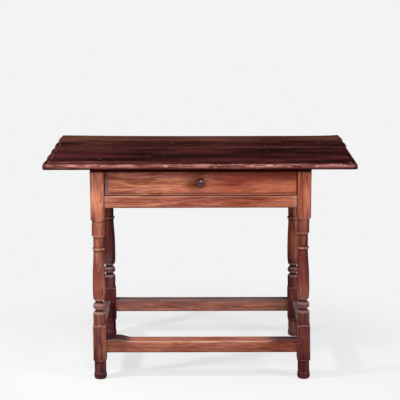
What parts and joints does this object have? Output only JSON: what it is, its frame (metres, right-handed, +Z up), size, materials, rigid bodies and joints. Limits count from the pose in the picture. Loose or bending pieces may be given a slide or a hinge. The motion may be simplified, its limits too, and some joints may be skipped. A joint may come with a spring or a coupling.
{
  "type": "tavern table",
  "caption": "Joined wooden side table with turned legs, low box stretcher, moulded and lobed plank top and an inset drawer that slides on wooden runners.",
  "frame": {"origin": "on the floor under the middle of the top", "axes": "+X to the right along the length, +Y from the drawer front to the back, +Z up"},
  "size_m": [0.987, 0.608, 0.72],
  "materials": {
    "top_wood": "dark worn wax",
    "frame_wood": "old waxed hardwood",
    "secondary_wood": "bare aged softwood",
    "peg_wood": "end grain, waxed over",
    "knob_wood": "dark stained, polished",
    "nail_iron": "dull wrought iron"
  },
  "bodies": {
    "frame": {"top_board_front": "top_wood", "top_board_back": "top_wood", "top_joint_dowels": "peg_wood", "top_pegs": "peg_wood", "leg_front_left": "frame_wood", "leg_front_right": "frame_wood", "leg_rear_left": "frame_wood", "leg_rear_right": "frame_wood", "drawer_rail": "frame_wood", "rear_rail": "frame_wood", "side_rail_left": "frame_wood", "side_rail_right": "frame_wood", "stretcher_front": "frame_wood", "stretcher_rear": "frame_wood", "stretcher_left": "frame_wood", "stretcher_right": "frame_wood", "rail_pegs": "peg_wood", "stretcher_pegs": "peg_wood", "drawer_runner_left": "secondary_wood", "drawer_runner_right": "secondary_wood", "drawer_guide_left": "secondary_wood", "drawer_guide_right": "secondary_wood", "runner_nails": "nail_iron", "guide_nails": "nail_iron", "drawer_stops": "secondary_wood", "stop_nails": "nail_iron"},
    "drawer": {"drawer_front": "frame_wood", "drawer_side_left": "secondary_wood", "drawer_side_right": "secondary_wood", "drawer_back": "secondary_wood", "drawer_bottom_front": "secondary_wood", "drawer_bottom_back": "secondary_wood", "drawer_back_nails": "nail_iron", "drawer_bottom_nails": "nail_iron", "drawer_knob": "knob_wood", "knob_wedge": "peg_wood"}
  },
  "joints": [
    {"name": "drawer_slide", "type": "slide", "parent": "frame", "child": "drawer", "axis": [0, -1, 0], "range_m": [0, 0.32]}
  ]
}
